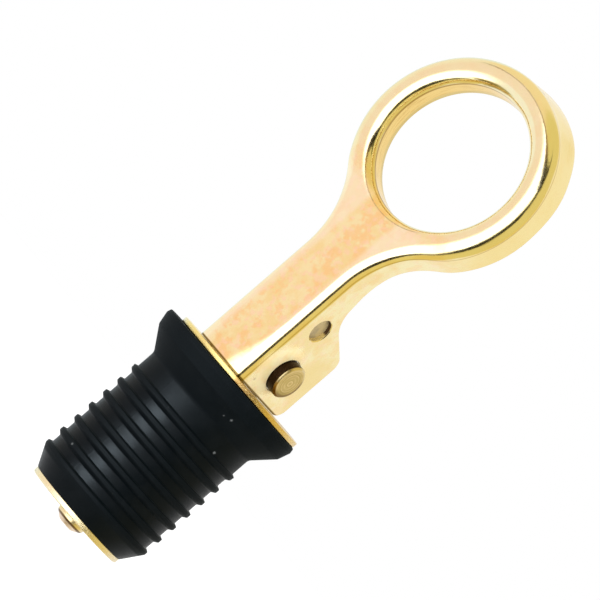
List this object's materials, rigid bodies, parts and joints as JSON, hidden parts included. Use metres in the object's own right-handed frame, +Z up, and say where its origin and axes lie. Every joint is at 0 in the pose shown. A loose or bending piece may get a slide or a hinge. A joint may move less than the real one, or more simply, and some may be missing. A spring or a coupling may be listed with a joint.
{
  "type": "boat drain plug",
  "caption": "Expanding drain plug: a ribbed rubber body between washers on a threaded stem, squeezed by folding down a stamped finger-ring lever.",
  "frame": {"origin": "on the stem's axis, at the middle rib of the rubber, which is the middle of its grip in the drain tube", "axes": "+Z up the stem towards the finger ring; the lever's closed back faces -Y and it folds towards +Y; the barrel lies along X"},
  "size_m": [0.0368, 0.0312, 0.1067],
  "materials": {
    "black_rubber": "moulded black rubber, satin",
    "washer_metal": "blanked sheet, bright golden",
    "turned_metal": "turned, olive golden",
    "lever_sheet": "pressed sheet, pale golden, polished"
  },
  "bodies": {
    "plug": {"rubber_plug": "black_rubber"},
    "washer": {"top_washer": "washer_metal"},
    "barrel": {"barrel": "turned_metal"},
    "lever": {"lever": "lever_sheet"},
    "stem": {"stem": "turned_metal", "bottom_washer": "washer_metal"}
  },
  "joints": [
    {"name": "tension_turn", "type": "hinge", "parent": "plug", "child": "washer", "pos_m": [0, 0, 0], "axis": [0, 0, 1], "range_deg": [0, 630]},
    {"name": "squeeze_lift", "type": "slide", "parent": "washer", "child": "barrel", "axis": [0, 0, 1], "range_m": [0, 0.00385], "deforming": ["rubber_plug"]},
    {"name": "lever_fold", "type": "hinge", "parent": "barrel", "child": "lever", "pos_m": [0, 0, 0.0271], "axis": [-1, 0, 0], "range_deg": [0, 90]},
    {"name": "thread_travel", "type": "slide", "parent": "barrel", "child": "stem", "axis": [0, 0, -1], "range_m": [0, 0.0018]}
  ],
  "couplings": [
    {"joint": "squeeze_lift", "follows": "lever_fold", "m_per_rad": 0.0024192},
    {"joint": "thread_travel", "follows": "tension_turn", "m_per_rad": 0.00015915}
  ]
}
